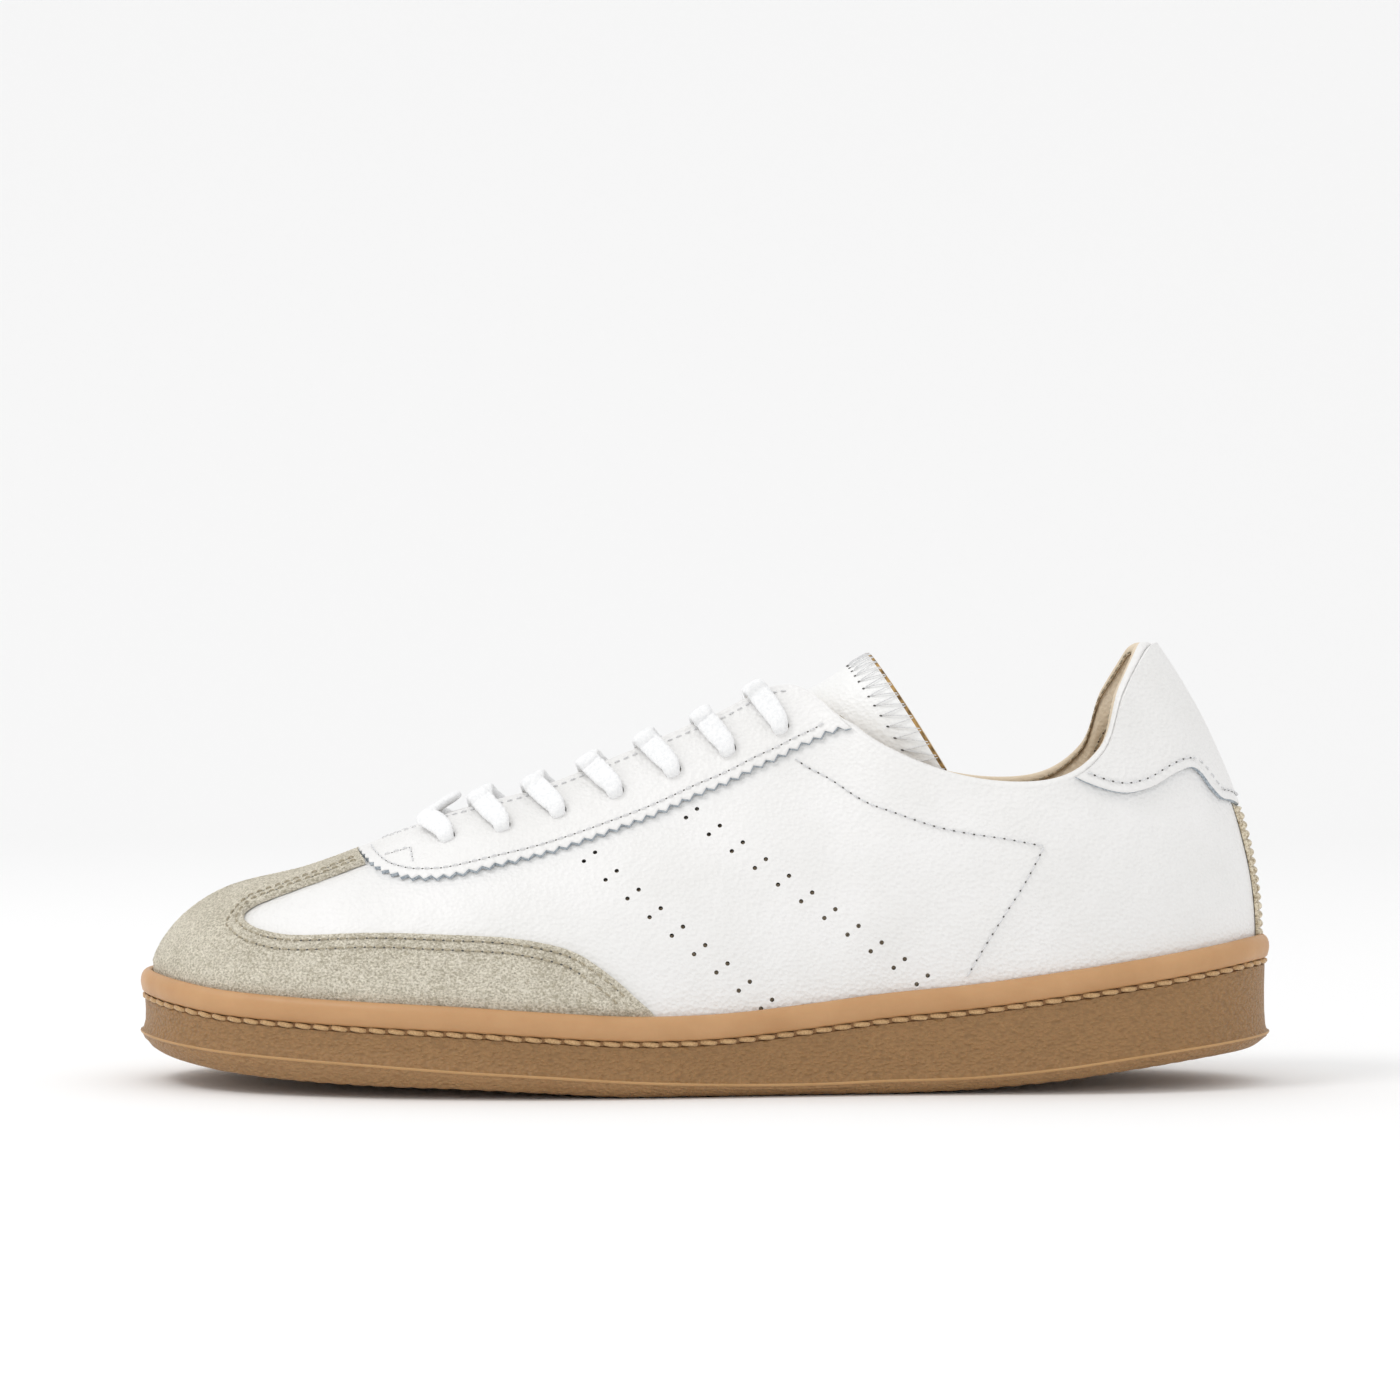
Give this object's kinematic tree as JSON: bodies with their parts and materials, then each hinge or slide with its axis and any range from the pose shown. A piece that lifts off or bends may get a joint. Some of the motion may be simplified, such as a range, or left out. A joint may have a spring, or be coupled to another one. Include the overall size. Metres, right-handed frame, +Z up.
{
  "type": "court shoe",
  "caption": "Low-top laced court shoe with a stitched gum cup sole, leather upper, suede toe cap, padded collar and a tongue that hinges down under the laces.",
  "frame": {"origin": "centre of the shoe's bounding box, on the flat patch of the sole it stands on", "axes": "+X from toe to heel, +Y from the lateral to the medial side, +Z up"},
  "size_m": [0.2974, 0.1048, 0.1155],
  "materials": {
    "gum_rubber": "pebbled gum rubber with a smooth lip",
    "sole_thread": "waxed twisted thread",
    "foam": "open-cell foam",
    "board": "pressed fibre board",
    "tan_leather": "soft lining leather",
    "white_leather": "smooth fine-grained leather",
    "suede": "napped suede",
    "textile": "plain woven lining cloth",
    "ribbed_tape": "ribbed cotton tape",
    "lace_cotton": "flat woven cotton",
    "lace_tip": "shrunk plastic tip"
  },
  "bodies": {
    "shoe": {"outsole": "gum_rubber", "sole_stitch": "sole_thread", "midsole_wedge": "foam", "insole_board": "board", "footbed_foam": "foam", "footbed_cover": "tan_leather", "quarter_lateral": "white_leather", "quarter_medial": "white_leather", "toe_cap": "suede", "toe_puff": "board", "vamp_lining": "textile", "lining_lateral": "tan_leather", "lining_medial": "tan_leather", "heel_counter": "board", "collar_foam_lateral": "foam", "collar_foam_medial": "foam", "collar_binding": "tan_leather", "eyestay": "white_leather", "eyestay_backing_lateral": "textile", "eyestay_backing_medial": "textile", "heel_tab": "white_leather", "heel_strip": "ribbed_tape", "lace": "lace_cotton", "aglets": "lace_tip"},
    "tongue": {"tongue_leather": "white_leather", "tongue_foam": "foam", "tongue_lining": "textile"}
  },
  "joints": [
    {"name": "tongue_hinge", "type": "hinge", "parent": "shoe", "child": "tongue", "pos_m": [-0.08, 0, 0.05], "axis": [0, 1, 0], "range_deg": [0, 12]}
  ]
}
